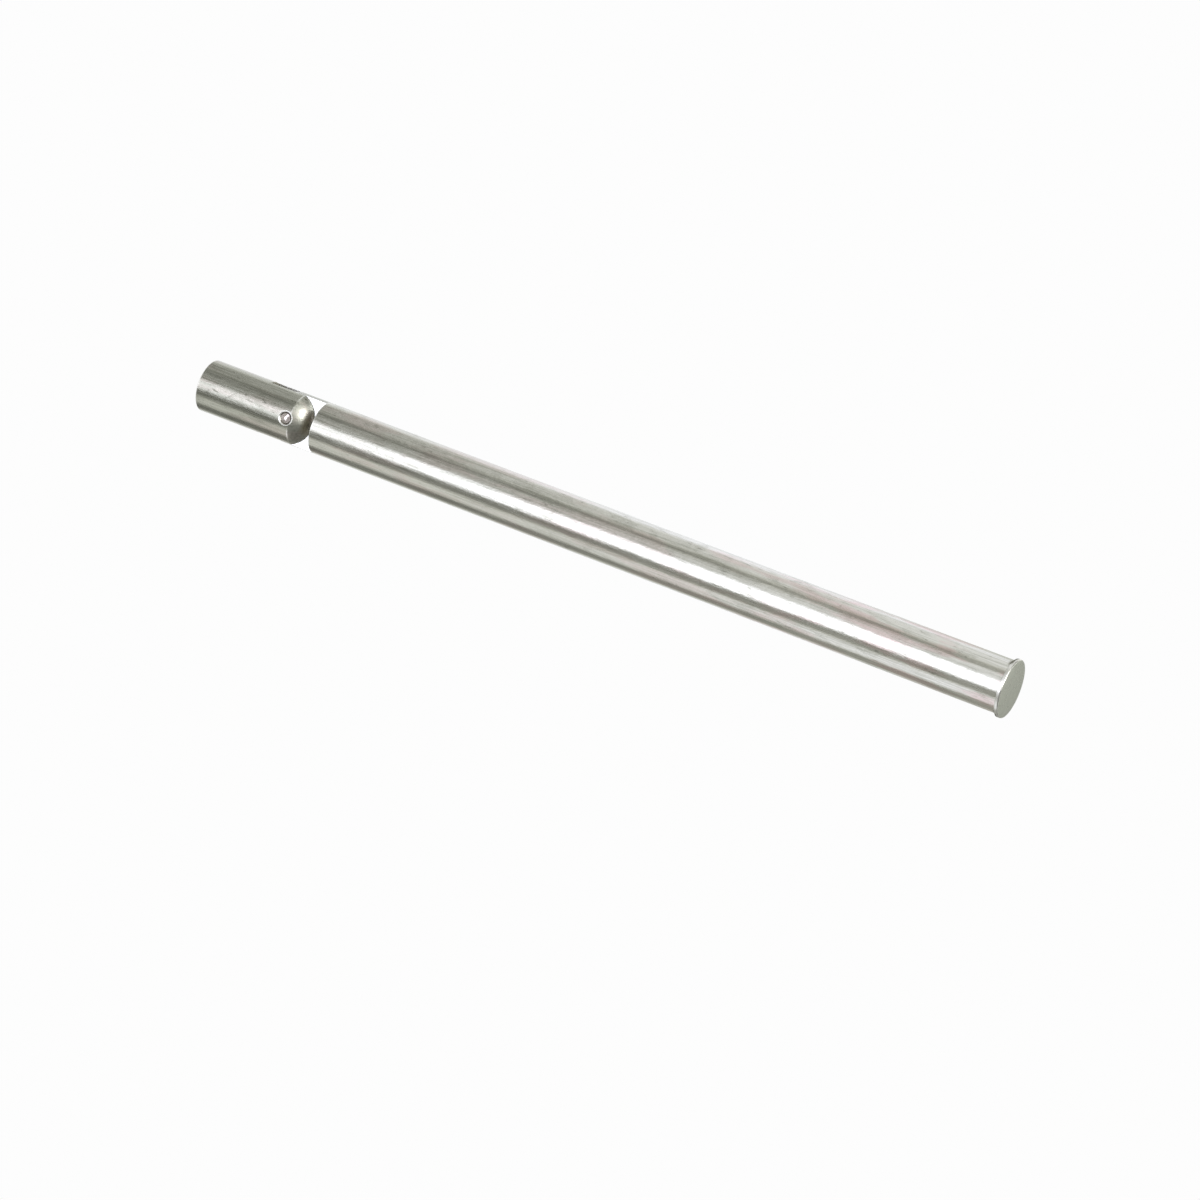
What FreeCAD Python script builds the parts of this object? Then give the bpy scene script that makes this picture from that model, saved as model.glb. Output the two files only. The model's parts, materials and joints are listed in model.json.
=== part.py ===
import FreeCAD, Part
import math
import os

import Sketcher

# Drop-nose pin (toggle pin): a round bar with a thin head at one end and a short nose of the same diameter
# hinged on a cross rivet at the other. In line, the nose passes through a hole with the bar. Turned across,
# it keeps the pin in.
#
# Row frame, in millimetres: the origin is the centre of the head's underside, where the grip begins. +X runs
# along the bar and out of the head, so the bar and the nose lie along -X. The rivet lies along Y. +Z is up.
# The nose is shown in line with the bar.

ORIGIN = -1  # Sketcher's number for a sketch's own horizontal axis and, with point 1, its origin
VERTICAL = -2  # Sketcher's number for a sketch's own vertical axis
START = 1
END = 2
CENTRE = 3
SAME_PLACE = 1e-6  # mm
SMALLEST_CUT = 0.01  # mm3

DRIVING_SIZES = {
    # the bar, which the nose matches
    "shank_diameter": 12.0,
    "grip_length": 171.0,  # from the head's underside to the shoulder
    # the disc at the end of the bar, whose chamfered end sits in a shallow tapered register in the disc
    "head_diameter": 13.2,
    "head_thickness": 0.9,
    "head_edge_break": 0.15,
    "register_depth": 0.3,
    # the tongue milled on the bar, rounded about the pivot
    "tongue_thickness": 3.0,
    "tongue_root_radius": 0.3,
    "pivot_setback": 6.7,  # from the shoulder to the pivot
    # the nose
    "nose_reach": 23.4,  # from the pivot to the flat outer end
    "nose_edge_break": 0.2,
    "dome_radius": 6.4,
    "dome_setback": 1.1,  # the dome's centre lies this far past the pivot
    "slot_width": 3.3,
    "slot_reach": 8.0,  # from the pivot to the slot's floor
    # the cross rivet and its seats, the same at both ends
    "rivet_diameter": 2.2,
    "rivet_running_clearance": 0.05,  # on the radius, in the tongue's hole
    "rivet_end_diameter": 2.4,
    "rivet_end_drop": 0.25,  # from the nose's side line in to the edge of the peened end
    "rivet_crown_drop": 0.05,  # from the nose's side line in to the middle of the peened end
    "seat_diameter": 2.9,
    "seat_depth": 0.7,
    "countersink_diameter": 3.4,
    "cutter_overshoot": 0.5,
}

# expressions that several sub-parts use
PIVOT = "-(Sizes.grip_length + Sizes.pivot_setback)"
SIDE = "Sizes.shank_diameter / 2"
COUNTERSINK_DEPTH = "(Sizes.countersink_diameter - Sizes.seat_diameter) / 2"


def make_sizes(doc):
    """The spreadsheet of driving dimensions: a name in column A, a plain number with that alias in column B."""
    sheet = doc.addObject("Spreadsheet::Sheet", "Sizes")
    for row, (name, value) in enumerate(DRIVING_SIZES.items(), start=1):
        sheet.set(f"A{row}", name)
        sheet.set(f"B{row}", str(value))
        sheet.setAlias(f"B{row}", name)
    doc.recompute()
    return sheet


def size(name):
    """A driving dimension as an expression."""
    return f"Sizes.{name}"


def half(name):
    """Half a driving dimension as an expression."""
    return f"Sizes.{name} / 2"


def new_body(doc, label):
    body = doc.addObject("PartDesign::Body", label)
    body.Label = label
    return body


def new_sketch(body, name, plane):
    """A sketch on one of the body's own origin planes, such as XZ_Plane."""
    sketch = body.newObject("Sketcher::SketchObject", name)
    origin_plane = next(feature for feature in body.Origin.OriginFeatures if feature.Role == plane)
    sketch.AttachmentSupport = [(origin_plane, "")]
    sketch.MapMode = "FlatFace"
    return sketch


def bind(sketch, name, constraint, formula):
    """Adds a constraint and ties its value to the spreadsheet."""
    index = sketch.addConstraint(constraint)
    sketch.renameConstraint(index, name)
    sketch.setExpression(f"Constraints.{name}", formula)


def place_point(sketch, name, geometry, point, across, up):
    """Ties a point to its two distances from the sketch's origin. None puts it on the axis."""
    if across is None:
        sketch.addConstraint(Sketcher.Constraint("PointOnObject", geometry, point, VERTICAL))
    else:
        value = sketch.evalExpression(across)
        distance = Sketcher.Constraint("DistanceX", ORIGIN, START, geometry, point, value)
        bind(sketch, f"{name}_across", distance, across)
    if up is None:
        sketch.addConstraint(Sketcher.Constraint("PointOnObject", geometry, point, ORIGIN))
    else:
        value = sketch.evalExpression(up)
        distance = Sketcher.Constraint("DistanceY", ORIGIN, START, geometry, point, value)
        bind(sketch, f"{name}_up", distance, up)


def draw_circle(sketch, name, diameter, across=None):
    """A circle on the sketch's horizontal axis, at its origin unless across says where."""
    middle = FreeCAD.Vector(0 if across is None else sketch.evalExpression(across), 0, 0)
    radius = sketch.evalExpression(diameter) / 2
    circle = sketch.addGeometry(Part.Circle(middle, FreeCAD.Vector(0, 0, 1), radius), False)
    place_point(sketch, name, circle, CENTRE, across, None)
    bind(sketch, f"{name}_diameter", Sketcher.Constraint("Diameter", circle, 2 * radius), diameter)


def draw_outline(sketch, name, corners):
    """A closed outline of straight lines through corners, each a pair of distances from the origin."""
    points = []
    for across, up in corners:
        right = 0 if across is None else sketch.evalExpression(across)
        above = 0 if up is None else sketch.evalExpression(up)
        points.append(FreeCAD.Vector(right, above, 0))
    first = sketch.GeometryCount
    for start, end in zip(points, points[1:] + points[:1]):
        sketch.addGeometry(Part.LineSegment(start, end), False)
    for index in range(len(corners)):
        following = (index + 1) % len(corners)
        joint = Sketcher.Constraint("Coincident", first + index, END, first + following, START)
        sketch.addConstraint(joint)
    for index, (across, up) in enumerate(corners):
        place_point(sketch, f"{name}_{index}", first + index, START, across, up)


def pad(body, sketch, name, length):
    """Pads a sketch away from its plane's normal, towards -X."""
    feature = body.newObject("PartDesign::Pad", name)
    feature.Profile = sketch
    feature.Reversed = True
    feature.setExpression("Length", length)


def cut_through(body, sketch, name):
    """Pockets a sketch right through the body, both ways."""
    before = solid_volume(body)
    feature = body.newObject("PartDesign::Pocket", name)
    feature.Profile = sketch
    feature.Type = "ThroughAll"
    feature.Midplane = True
    check_cut(body, before, name)


def solid_volume(body):
    """The body's volume after it is worked out again."""
    body.Document.recompute()
    return body.Shape.Volume


def check_cut(body, before, name):
    """A cut that misses the solid shows no error, so its volume is compared."""
    if solid_volume(body) > before - SMALLEST_CUT:
        raise ValueError(f"{name} cut nothing")


def revolve(body, sketch, name, axis, kind="Revolution"):
    """Turns a sketch right round one of its own axes, to add a solid or, as a Groove, to cut one away."""
    feature = body.newObject(f"PartDesign::{kind}", name)
    feature.Profile = sketch
    feature.ReferenceAxis = (sketch, [axis])
    feature.Angle = 360


def make_shank(doc):
    """The bar: drawn round stock, one end chamfered into the head's register, the other milled to a tongue."""
    body = new_body(doc, "shank")

    section = new_sketch(body, "bar_section", "YZ_Plane")
    section.setExpression("AttachmentOffset.Base.z", size("register_depth"))
    draw_circle(section, "bar", size("shank_diameter"))
    past_pivot = "Sizes.pivot_setback + Sizes.shank_diameter / 2"
    pad(body, section, "bar", f"Sizes.register_depth + Sizes.grip_length + {past_pivot}")

    flats = new_sketch(body, "tongue_sides", "XY_Plane")
    past_end = f"{PIVOT} - Sizes.shank_diameter"
    for name, side in (("near", "-"), ("far", "")):
        inner = f"{side}Sizes.tongue_thickness / 2"
        outer = f"{side}Sizes.shank_diameter"
        shoulder = "-Sizes.grip_length"
        draw_outline(flats, name, [(past_end, inner), (shoulder, inner), (shoulder, outer), (past_end, outer)])
    cut_through(body, flats, "tongue_flats")

    rounding = new_sketch(body, "tongue_end", "XZ_Plane")
    draw_tongue_end(rounding)
    cut_through(body, rounding, "tongue_rounding")

    bore = new_sketch(body, "rivet_hole", "XZ_Plane")
    draw_circle(bore, "hole", "Sizes.rivet_diameter + 2 * Sizes.rivet_running_clearance", PIVOT)
    cut_through(body, bore, "rivet_bore")

    sizes = doc.getObject("Sizes")

    def tongue_root(box):
        beside_tongue = lies_at(abs(box.YMin), abs(box.YMax), sizes.tongue_thickness / 2)
        return lies_at(box.XMin, box.XMax, -sizes.grip_length) and beside_tongue

    def plain_end(box):
        return lies_at(box.XMin, box.XMax, sizes.register_depth)

    dress_edges(body, "Fillet", "tongue_root", tongue_root, "Radius", size("tongue_root_radius"))
    dress_edges(body, "Chamfer", "plain_end", plain_end, "Size", size("register_depth"))
    return body


def draw_tongue_end(sketch):
    """Everything outside the half circle about the pivot, which is as large as the bar's section."""
    radius = half("shank_diameter")
    middle = FreeCAD.Vector(sketch.evalExpression(PIVOT), 0, 0)
    reach = sketch.evalExpression(radius)
    past = f"{PIVOT} - Sizes.shank_diameter"
    above = size("shank_diameter")
    below = "-Sizes.shank_diameter"
    corners = [(PIVOT, above), (past, above), (past, below), (PIVOT, below)]
    points = [FreeCAD.Vector(sketch.evalExpression(x), sketch.evalExpression(z), 0) for x, z in corners]
    top = middle + FreeCAD.Vector(0, reach, 0)
    bottom = middle - FreeCAD.Vector(0, reach, 0)
    chain = [top] + points + [bottom]
    for start, end in zip(chain, chain[1:]):
        sketch.addGeometry(Part.LineSegment(start, end), False)
    circle = Part.Circle(middle, FreeCAD.Vector(0, 0, 1), reach)
    arc = sketch.addGeometry(Part.ArcOfCircle(circle, math.pi / 2, 3 * math.pi / 2), False)
    for line in range(arc - 1):
        sketch.addConstraint(Sketcher.Constraint("Coincident", line, END, line + 1, START))
    sketch.addConstraint(Sketcher.Constraint("Coincident", 0, START, arc, START))
    sketch.addConstraint(Sketcher.Constraint("Coincident", arc - 1, END, arc, END))
    for index, (across, up) in enumerate(corners):
        place_point(sketch, f"corner_{index}", index, END, across, up)
    place_point(sketch, "pivot", arc, CENTRE, PIVOT, None)
    bind(sketch, "end_radius", Sketcher.Constraint("Radius", arc, reach), radius)
    sketch.addConstraint(Sketcher.Constraint("Vertical", 0))
    sketch.addConstraint(Sketcher.Constraint("Vertical", arc - 1))


def dress_edges(body, kind, name, chosen, dimension, formula):
    """A fillet or chamfer on the edges whose bounding boxes are chosen."""
    body.Document.recompute()
    solid = body.Tip
    numbered = enumerate(solid.Shape.Edges, start=1)
    edges = [f"Edge{number}" for number, edge in numbered if chosen(edge.BoundBox)]
    feature = body.newObject(f"PartDesign::{kind}", name)
    feature.Base = (solid, edges)
    feature.setExpression(dimension, formula)


def lies_at(low, high, place):
    """True where both ends of a range are at one place."""
    return abs(low - place) < SAME_PLACE and abs(high - place) < SAME_PLACE


def make_head(doc):
    """The flat disc on the end of the bar, with the tapered register under it and its outer rim edge broken."""
    body = new_body(doc, "head")
    profile = new_sketch(body, "head_profile", "XZ_Plane")
    rim = half("head_diameter")
    inside_rim = "Sizes.head_diameter / 2 - Sizes.head_edge_break"
    face = size("head_thickness")
    corners = [
        (size("register_depth"), None),
        (size("register_depth"), "Sizes.shank_diameter / 2 - Sizes.register_depth"),
        (None, half("shank_diameter")),
        (None, rim),
        ("Sizes.head_thickness - Sizes.head_edge_break", rim),
        (face, inside_rim),
        (face, None),
    ]
    draw_outline(profile, "head", corners)
    revolve(body, profile, "head_disc", "H_Axis")
    return body


def make_nose(doc):
    """The pivoting end, drawn about the pivot: domed towards the shoulder, flat outside, slotted, drilled."""
    body = new_body(doc, "nose")
    profile = new_sketch(body, "nose_profile", "XZ_Plane")
    draw_nose_profile(profile)
    revolve(body, profile, "nose_round", "H_Axis")

    slot = new_sketch(body, "slot_outline", "XY_Plane")
    past_dome = "Sizes.dome_radius + Sizes.cutter_overshoot"
    floor = "-Sizes.slot_reach"
    near = "-Sizes.slot_width / 2"
    far = half("slot_width")
    draw_outline(slot, "slot", [(floor, near), (past_dome, near), (past_dome, far), (floor, far)])
    cut_through(body, slot, "slot")

    seats = new_sketch(body, "rivet_seats", "XY_Plane")
    draw_rivet_seats(seats)
    before = solid_volume(body)
    revolve(body, seats, "rivet_holes", "V_Axis", "Groove")
    check_cut(body, before, "rivet_holes")
    body.setExpression("Placement.Base.x", PIVOT)
    return body


def draw_nose_profile(sketch):
    """Half the nose's outline above its axis. The dome's arc meets the side line at a visible crease."""
    side = half("shank_diameter")
    end = "-Sizes.nose_reach"
    radius = sketch.evalExpression(size("dome_radius"))
    side_height = sketch.evalExpression(side)
    dome_centre = FreeCAD.Vector(-sketch.evalExpression(size("dome_setback")), 0, 0)
    crease_angle = math.asin(side_height / radius)
    crease = dome_centre + FreeCAD.Vector(radius * math.cos(crease_angle), side_height, 0)
    tip = dome_centre + FreeCAD.Vector(radius, 0, 0)
    edge = sketch.evalExpression(size("nose_edge_break"))
    left = sketch.evalExpression(end)
    axis_start = FreeCAD.Vector(left, 0, 0)
    end_edge = FreeCAD.Vector(left, side_height - edge, 0)
    side_start = FreeCAD.Vector(left + edge, side_height, 0)
    chain = [tip, axis_start, end_edge, side_start, crease]
    for start, finish in zip(chain, chain[1:]):
        sketch.addGeometry(Part.LineSegment(start, finish), False)
    circle = Part.Circle(dome_centre, FreeCAD.Vector(0, 0, 1), radius)
    arc = sketch.addGeometry(Part.ArcOfCircle(circle, 0, crease_angle), False)
    for line in range(arc - 1):
        sketch.addConstraint(Sketcher.Constraint("Coincident", line, END, line + 1, START))
    sketch.addConstraint(Sketcher.Constraint("Coincident", arc, START, 0, START))
    sketch.addConstraint(Sketcher.Constraint("Coincident", arc - 1, END, arc, END))
    sketch.addConstraint(Sketcher.Constraint("Horizontal", 0))
    sketch.addConstraint(Sketcher.Constraint("Horizontal", arc - 1))
    place_point(sketch, "outer_end", 0, END, end, None)
    place_point(sketch, "end_edge", 1, END, end, "Sizes.shank_diameter / 2 - Sizes.nose_edge_break")
    place_point(sketch, "side_start", 2, END, "Sizes.nose_edge_break - Sizes.nose_reach", side)
    place_point(sketch, "dome_centre", arc, CENTRE, "-Sizes.dome_setback", None)
    bind(sketch, "dome_radius", Sketcher.Constraint("Radius", arc, radius), size("dome_radius"))


def draw_rivet_seats(sketch):
    """Half the section of the cross hole: a press fit, then at both ends a steep seat and a 45 degree mouth."""
    hole = half("rivet_diameter")
    seat = half("seat_diameter")
    mouth = "Sizes.countersink_diameter / 2 + Sizes.cutter_overshoot"
    outside = "(Sizes.shank_diameter / 2 + Sizes.cutter_overshoot)"
    throat = f"({SIDE} - {COUNTERSINK_DEPTH})"
    seat_bottom = f"({SIDE} - Sizes.seat_depth)"
    upper = [(hole, seat_bottom), (seat, throat), (mouth, outside), (None, outside)]
    lower = [(across, f"-{up}") for across, up in reversed(upper)]
    draw_outline(sketch, "seats", lower + upper)


def make_rivet(doc):
    """The cross rivet, drawn about the pivot: pressed into both ears, each end peened out on its seat."""
    body = new_body(doc, "pivot_rivet")
    profile = new_sketch(body, "rivet_profile", "XY_Plane")
    spread = "(Sizes.rivet_end_diameter - Sizes.rivet_diameter)"
    seat_spread = "(Sizes.seat_diameter - Sizes.rivet_diameter)"
    seat_height = f"(Sizes.seat_depth - {COUNTERSINK_DEPTH})"
    neck = f"({SIDE} - Sizes.seat_depth)"
    skirt = f"({SIDE} - Sizes.seat_depth + {seat_height} * {spread} / {seat_spread})"
    rim = f"({SIDE} - Sizes.rivet_end_drop)"
    crown = f"({SIDE} - Sizes.rivet_crown_drop)"
    shaft = half("rivet_diameter")
    end = half("rivet_end_diameter")
    draw_rivet_profile(profile, [(shaft, neck), (end, skirt), (end, rim)], crown)
    revolve(body, profile, "rivet_round", "V_Axis")
    body.setExpression("Placement.Base.x", PIVOT)
    return body


def draw_rivet_profile(sketch, upper, crown):
    """Half the rivet's section: straight lines up one side, closed at each end by a low crowned arc."""
    corners = [(across, f"-{up}") for across, up in reversed(upper)] + upper
    points = [FreeCAD.Vector(sketch.evalExpression(x), sketch.evalExpression(y), 0) for x, y in corners]
    for start, finish in zip(points, points[1:]):
        sketch.addGeometry(Part.LineSegment(start, finish), False)
    lines = len(points) - 1
    for line in range(lines - 1):
        sketch.addConstraint(Sketcher.Constraint("Coincident", line, END, line + 1, START))
    for index, (across, up) in enumerate(corners[:-1]):
        place_point(sketch, f"corner_{index}", index, START, across, up)
    place_point(sketch, "last_corner", lines - 1, END, *corners[-1])

    rim_radius, rim_height = points[-1].x, points[-1].y
    top = sketch.evalExpression(crown)
    rise = top - rim_height
    crown_radius = (rim_radius**2 + rise**2) / (2 * rise)
    opening = math.asin(rim_radius / crown_radius)
    upright = FreeCAD.Vector(0, 0, 1)
    high = Part.Circle(FreeCAD.Vector(0, top - crown_radius, 0), upright, crown_radius)
    low = Part.Circle(FreeCAD.Vector(0, crown_radius - top, 0), upright, crown_radius)
    quarter = math.pi / 2
    high_arc = sketch.addGeometry(Part.ArcOfCircle(high, quarter - opening, quarter), False)
    low_arc = sketch.addGeometry(Part.ArcOfCircle(low, -quarter, opening - quarter), False)
    middle = Part.LineSegment(FreeCAD.Vector(0, top, 0), FreeCAD.Vector(0, -top, 0))
    axis = sketch.addGeometry(middle, False)
    sketch.addConstraint(Sketcher.Constraint("Coincident", lines - 1, END, high_arc, START))
    sketch.addConstraint(Sketcher.Constraint("Coincident", high_arc, END, axis, START))
    sketch.addConstraint(Sketcher.Constraint("Coincident", axis, END, low_arc, START))
    sketch.addConstraint(Sketcher.Constraint("Coincident", low_arc, END, 0, START))
    sketch.addConstraint(Sketcher.Constraint("PointOnObject", high_arc, CENTRE, VERTICAL))
    sketch.addConstraint(Sketcher.Constraint("PointOnObject", low_arc, CENTRE, VERTICAL))
    place_point(sketch, "crown_high", axis, START, None, crown)
    place_point(sketch, "crown_low", axis, END, None, f"-{crown}")


def check_document(doc, bodies):
    """Raises if any object failed, or any sub-part's shape is empty or broken."""
    for item in doc.Objects:
        if "Invalid" in item.State or "Error" in item.State:
            raise ValueError(f"{item.Label} failed: {item.State}")
    for body in bodies:
        shape = body.Shape
        if shape.isNull() or not shape.isValid() or len(shape.Solids) != 1:
            raise ValueError(f"{body.Label} isn't one sound solid")


def main():
    doc = FreeCAD.newDocument("drop_nose_pin")
    make_sizes(doc)
    bodies = [make_shank(doc), make_head(doc), make_nose(doc), make_rivet(doc)]
    doc.recompute()
    check_document(doc, bodies)
    os.makedirs("parts", exist_ok=True)
    for body in bodies:
        body.Shape.exportStep(f"parts/{body.Label}.step")
        box = body.Shape.BoundBox
        print(f"{body.Label}: {body.Shape.Volume:.1f} mm3, x {box.XMin:.2f} to {box.XMax:.2f}")


main()
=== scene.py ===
import json
import math

import bmesh
import bpy
from mathutils import Matrix, Vector


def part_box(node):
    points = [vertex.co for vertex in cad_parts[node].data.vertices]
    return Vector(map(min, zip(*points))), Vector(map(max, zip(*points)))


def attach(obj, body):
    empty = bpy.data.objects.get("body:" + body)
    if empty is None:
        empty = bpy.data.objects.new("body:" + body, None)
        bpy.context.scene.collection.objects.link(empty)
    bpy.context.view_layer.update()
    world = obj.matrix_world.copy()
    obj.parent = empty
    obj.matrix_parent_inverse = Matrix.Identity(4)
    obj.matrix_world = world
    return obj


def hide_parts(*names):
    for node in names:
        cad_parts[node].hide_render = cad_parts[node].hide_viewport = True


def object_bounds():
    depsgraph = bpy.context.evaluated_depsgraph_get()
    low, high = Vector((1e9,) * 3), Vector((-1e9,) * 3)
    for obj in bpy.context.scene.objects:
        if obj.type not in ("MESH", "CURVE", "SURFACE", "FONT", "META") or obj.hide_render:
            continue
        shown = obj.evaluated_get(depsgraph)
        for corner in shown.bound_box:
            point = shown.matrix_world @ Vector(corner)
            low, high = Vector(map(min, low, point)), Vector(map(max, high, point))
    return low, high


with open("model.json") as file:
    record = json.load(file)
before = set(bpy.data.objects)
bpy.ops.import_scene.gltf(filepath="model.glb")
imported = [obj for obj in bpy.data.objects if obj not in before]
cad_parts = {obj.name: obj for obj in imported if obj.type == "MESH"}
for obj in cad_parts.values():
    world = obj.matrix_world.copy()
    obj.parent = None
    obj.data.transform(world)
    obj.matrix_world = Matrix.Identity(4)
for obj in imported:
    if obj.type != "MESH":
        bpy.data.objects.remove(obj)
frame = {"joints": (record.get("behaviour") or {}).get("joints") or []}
cad_low, cad_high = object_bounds()

# Drop-nose pin in bright drawn stainless steel, in metres in the CAD's frame: X along the bar and out of the
# head, Y along the cross rivet, Z up. The CAD gives the places; the sizes below repeat its driving dimensions.

MM = 0.001

# places from the frame
PIVOT_X = frame["joints"][0]["pos_m"][0]
NOSE_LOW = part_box("nose")[0]
HEAD_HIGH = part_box("head")[1]
SHANK_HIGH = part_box("shank")[1]
BAR_RADIUS = SHANK_HIGH.z
HEAD_RADIUS = HEAD_HIGH.z
NOSE_END_X = NOSE_LOW.x
HEAD_FACE_X = HEAD_HIGH.x
REGISTER_DEPTH = SHANK_HIGH.x

# the bar's tongue
SHOULDER_X = PIVOT_X + 6.7 * MM
TONGUE_HALF = 1.5 * MM
TONGUE_ROOT_RADIUS = 0.3 * MM
TONGUE_BORE_RADIUS = 1.15 * MM

# the nose
SLOT_HALF = 1.65 * MM
SLOT_FLOOR_X = PIVOT_X - 8.0 * MM
DOME_RADIUS = 6.4 * MM
DOME_X = PIVOT_X - 1.1 * MM
CREASE_X = DOME_X + math.sqrt(DOME_RADIUS**2 - BAR_RADIUS**2)
NOSE_EDGE_BREAK = 0.2 * MM

# the rivet and its seats
RIVET_RADIUS = 1.1 * MM
RIVET_END_RADIUS = 1.2 * MM
RIVET_END_DROP = 0.25 * MM
RIVET_CROWN_DROP = 0.05 * MM
SEAT_RADIUS = 1.45 * MM
SEAT_DEPTH = 0.7 * MM
COUNTERSINK_RADIUS = 1.7 * MM
COUNTERSINK_DEPTH = COUNTERSINK_RADIUS - SEAT_RADIUS

# the head
HEAD_EDGE_BREAK = 0.3 * MM

# the fineness of the meshes
ARC_STEPS = 72  # along each ear's arc, from one slot edge to the other
GAP_STEPS = 14  # across the tongue or the slot
DOME_STEPS = 72  # round the dome, from crease to crease
LATHE_STEPS = 256
HOLE_STEPS = 128  # round the nose's rivet hole
ROUNDED_STEPS = 6  # round each corner of a lathed outline
BEVEL_STEPS = 3
WELD = 1e-7
SAME_POINT = 0.006 * MM  # mend() takes points nearer than this as one
CRACK = 0.04 * MM  # the widest hair crack that mend() closes
MENDING_ROUNDS = 3
SOFT_EDGE = 0.05 * MM  # how far the edges are rounded; a guess
SHARP = math.radians(34)  # an edge that turns more than this is kept sharp or rounded off


# ---------------------------------------------------------------- mesh building


def mesh_piece(name, grids, caps):
    """One closed mesh from grids of points and flat caps, welded where they meet."""
    bm = bmesh.new()
    for grid in grids:
        rows = [[bm.verts.new(point) for point in row] for row in grid]
        for upper, lower in zip(rows, rows[1:]):
            for left in range(len(upper) - 1):
                bm.faces.new((upper[left], upper[left + 1], lower[left + 1], lower[left]))
    for cap in caps:
        bm.faces.new([bm.verts.new(point) for point in cap])
    bmesh.ops.remove_doubles(bm, verts=bm.verts, dist=WELD)
    bmesh.ops.dissolve_degenerate(bm, dist=WELD, edges=bm.edges)
    bmesh.ops.recalc_face_normals(bm, faces=bm.faces)
    mesh = bpy.data.meshes.new(name)
    bm.to_mesh(mesh)
    bm.free()
    piece = bpy.data.objects.new(name, mesh)
    bpy.context.scene.collection.objects.link(piece)
    return piece


def spread(low, high, steps):
    return [low + (high - low) * step / steps for step in range(steps + 1)]


def bar_point(x, angle, radius):
    """A point on a circle about the X axis. Angle 0 faces the front, -Y, and positive angles rise."""
    return Vector((x, -radius * math.cos(angle), radius * math.sin(angle)))


def round_corners(profile, radius, special):
    """The open outline with an arc in place of each inner corner, special ones with a radius of their own."""
    points = [Vector(corner) for corner in profile]
    result = [points[0]]
    for number, (before, corner, after) in enumerate(zip(points, points[1:], points[2:]), 1):
        towards = (before - corner).normalized()
        away = (after - corner).normalized()
        half_turn = towards.angle(away) / 2
        reach = special.get(number, radius) / math.tan(half_turn)
        centre = corner + (towards + away).normalized() * reach / math.cos(half_turn)
        start = corner + towards * reach - centre
        end = corner + away * reach - centre
        for part in range(ROUNDED_STEPS + 1):
            blend = part / ROUNDED_STEPS
            direction = start.normalized().slerp(end.normalized(), blend) if start.length else start
            result.append(centre + direction * start.length)
    result.append(points[-1])
    return result


def lathe(name, profile, axis, centre_x=0.0, steps=LATHE_STEPS, start=0.0):
    """A closed solid of revolution. Profile pairs are (along the axis, radius); the ends lie on the axis."""
    grid = []
    for angle in spread(start, start + 2 * math.pi, steps):
        row = []
        for along, radius in profile:
            if axis == "X":
                row.append(bar_point(centre_x + along, angle, radius))
            else:
                row.append(Vector((centre_x + radius * math.cos(angle), along, radius * math.sin(angle))))
        grid.append(row)
    return mesh_piece(name, [grid], [])


def bevel_edges(piece, chosen, width):
    """Rounds the edges that the given test picks from their two ends and the edge itself."""
    bm = bmesh.new()
    bm.from_mesh(piece.data)
    edges = [edge for edge in bm.edges if chosen(*(vert.co for vert in edge.verts), edge)]
    bmesh.ops.bevel(
        bm, geom=edges, offset=width, segments=BEVEL_STEPS, profile=0.5, affect="EDGES", clamp_overlap=True
    )
    bmesh.ops.recalc_face_normals(bm, faces=bm.faces)
    bm.to_mesh(piece.data)
    bm.free()


def subtract(piece, cutter):
    """Cuts the cutter out of the piece and removes the cutter."""
    modifier = piece.modifiers.new("cut", "BOOLEAN")
    modifier.operation = "DIFFERENCE"
    modifier.solver = "EXACT"
    modifier.object = cutter
    apply_modifiers(piece)
    bpy.data.objects.remove(cutter)


def apply_modifiers(piece):
    bpy.context.view_layer.update()
    evaluated = piece.evaluated_get(bpy.context.evaluated_depsgraph_get())
    mesh = bpy.data.meshes.new_from_object(evaluated)
    old = piece.data
    piece.modifiers.clear()
    piece.data = mesh
    mesh.name = piece.name
    bpy.data.meshes.remove(old)


def mend(piece):
    """Closes the hair cracks that bevels and cuts leave where several edges meet."""
    bm = bmesh.new()
    bm.from_mesh(piece.data)
    bmesh.ops.remove_doubles(bm, verts=bm.verts, dist=SAME_POINT)
    for _ in range(MENDING_ROUNDS):
        cracked = {vert for edge in bm.edges if len(edge.link_faces) != 2 for vert in edge.verts}
        bmesh.ops.remove_doubles(bm, verts=list(cracked), dist=CRACK)
        bmesh.ops.dissolve_degenerate(bm, dist=SAME_POINT, edges=bm.edges)
        bmesh.ops.holes_fill(bm, edges=[edge for edge in bm.edges if edge.is_boundary], sides=0)
    many_sided = [face for face in bm.faces if len(face.verts) > 4]
    bmesh.ops.triangulate(bm, faces=many_sided, ngon_method="BEAUTY")
    bmesh.ops.recalc_face_normals(bm, faces=bm.faces)
    bm.to_mesh(piece.data)
    bm.free()


def finish_shading(piece):
    """Smooth shading that stays flat on flats, with the sharp edges kept."""
    mesh = piece.data
    mesh.polygons.foreach_set("use_smooth", [True] * len(mesh.polygons))
    bm = bmesh.new()
    bm.from_mesh(mesh)
    for edge in bm.edges:
        edge.smooth = not (len(edge.link_faces) == 2 and edge.calc_face_angle(0) > SHARP)
    bm.to_mesh(mesh)
    bm.free()
    weighted = piece.modifiers.new("weighted_normals", "WEIGHTED_NORMAL")
    weighted.mode = "FACE_AREA"
    weighted.weight = 100
    weighted.keep_sharp = True
    apply_modifiers(piece)


def near(a, b):
    return abs(a - b) < WELD


# ---------------------------------------------------------------- the pieces


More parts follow.
